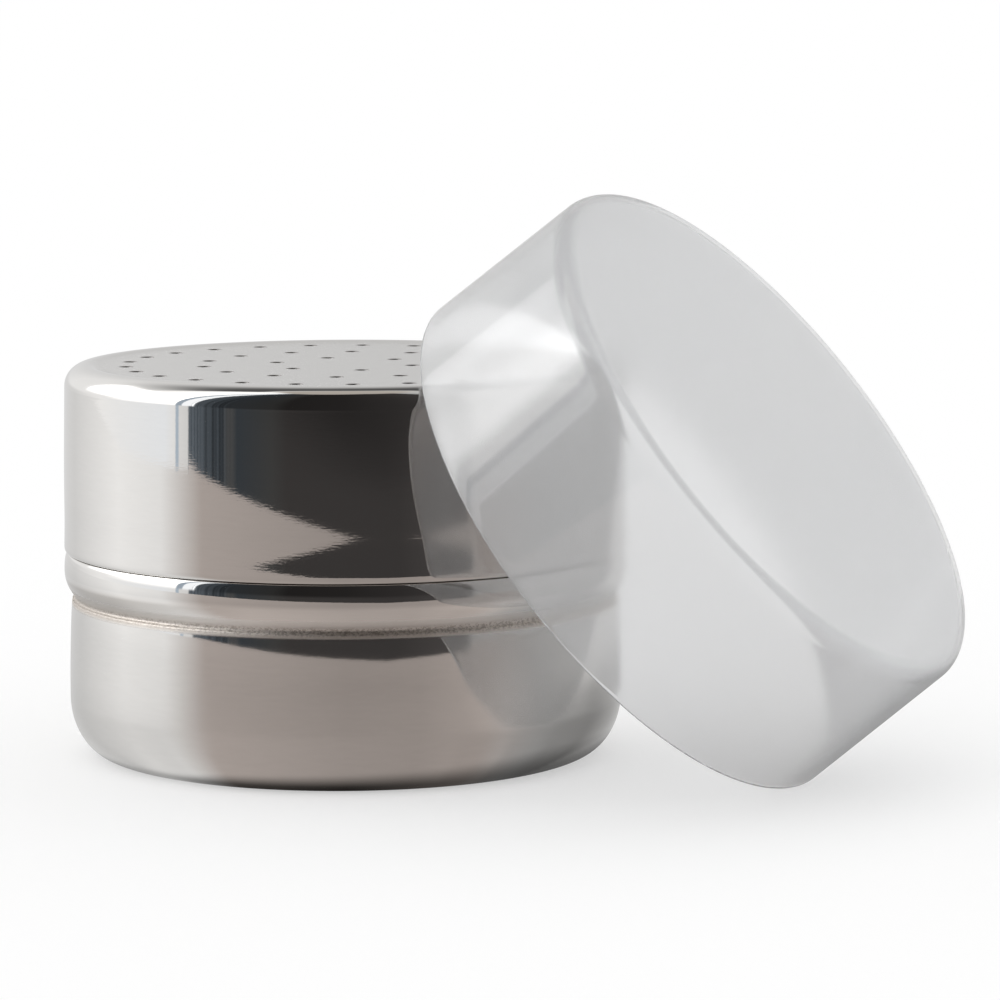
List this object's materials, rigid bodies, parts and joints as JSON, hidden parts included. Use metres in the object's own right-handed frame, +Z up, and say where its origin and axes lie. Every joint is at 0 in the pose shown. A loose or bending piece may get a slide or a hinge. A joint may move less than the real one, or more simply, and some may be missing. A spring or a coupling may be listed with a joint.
{
  "type": "spice shaker",
  "caption": "Round steel spice shaker: a drawn cup with a stop bead, a slip-on perforated lid, and a clear plastic cover taken off and leaning on it.",
  "frame": {"origin": "centre of the cup's foot, on the surface that the shaker stands on", "axes": "+Z up along the shaker's axis; the cover leans towards +X, turned 26.6 degrees towards -Y"},
  "size_m": [0.1189, 0.1004, 0.0755],
  "materials": {
    "cup_steel": "satin",
    "lid_steel": "polished",
    "clear_plastic": "glossy"
  },
  "bodies": {
    "cup": {"cup": "cup_steel"},
    "lid": {"perforated_lid": "lid_steel"},
    "cover": {"cover": "clear_plastic"}
  },
  "joints": [
    {"name": "lid_lift", "type": "slide", "parent": "cup", "child": "lid", "axis": [0, 0, 1], "range_m": [0, 0.035]},
    {"name": "cover_draw_off", "type": "slide", "parent": "lid", "child": "cover", "axis": [0.7022, -0.3516, 0.6191], "range_m": [0, 0.05]}
  ]
}
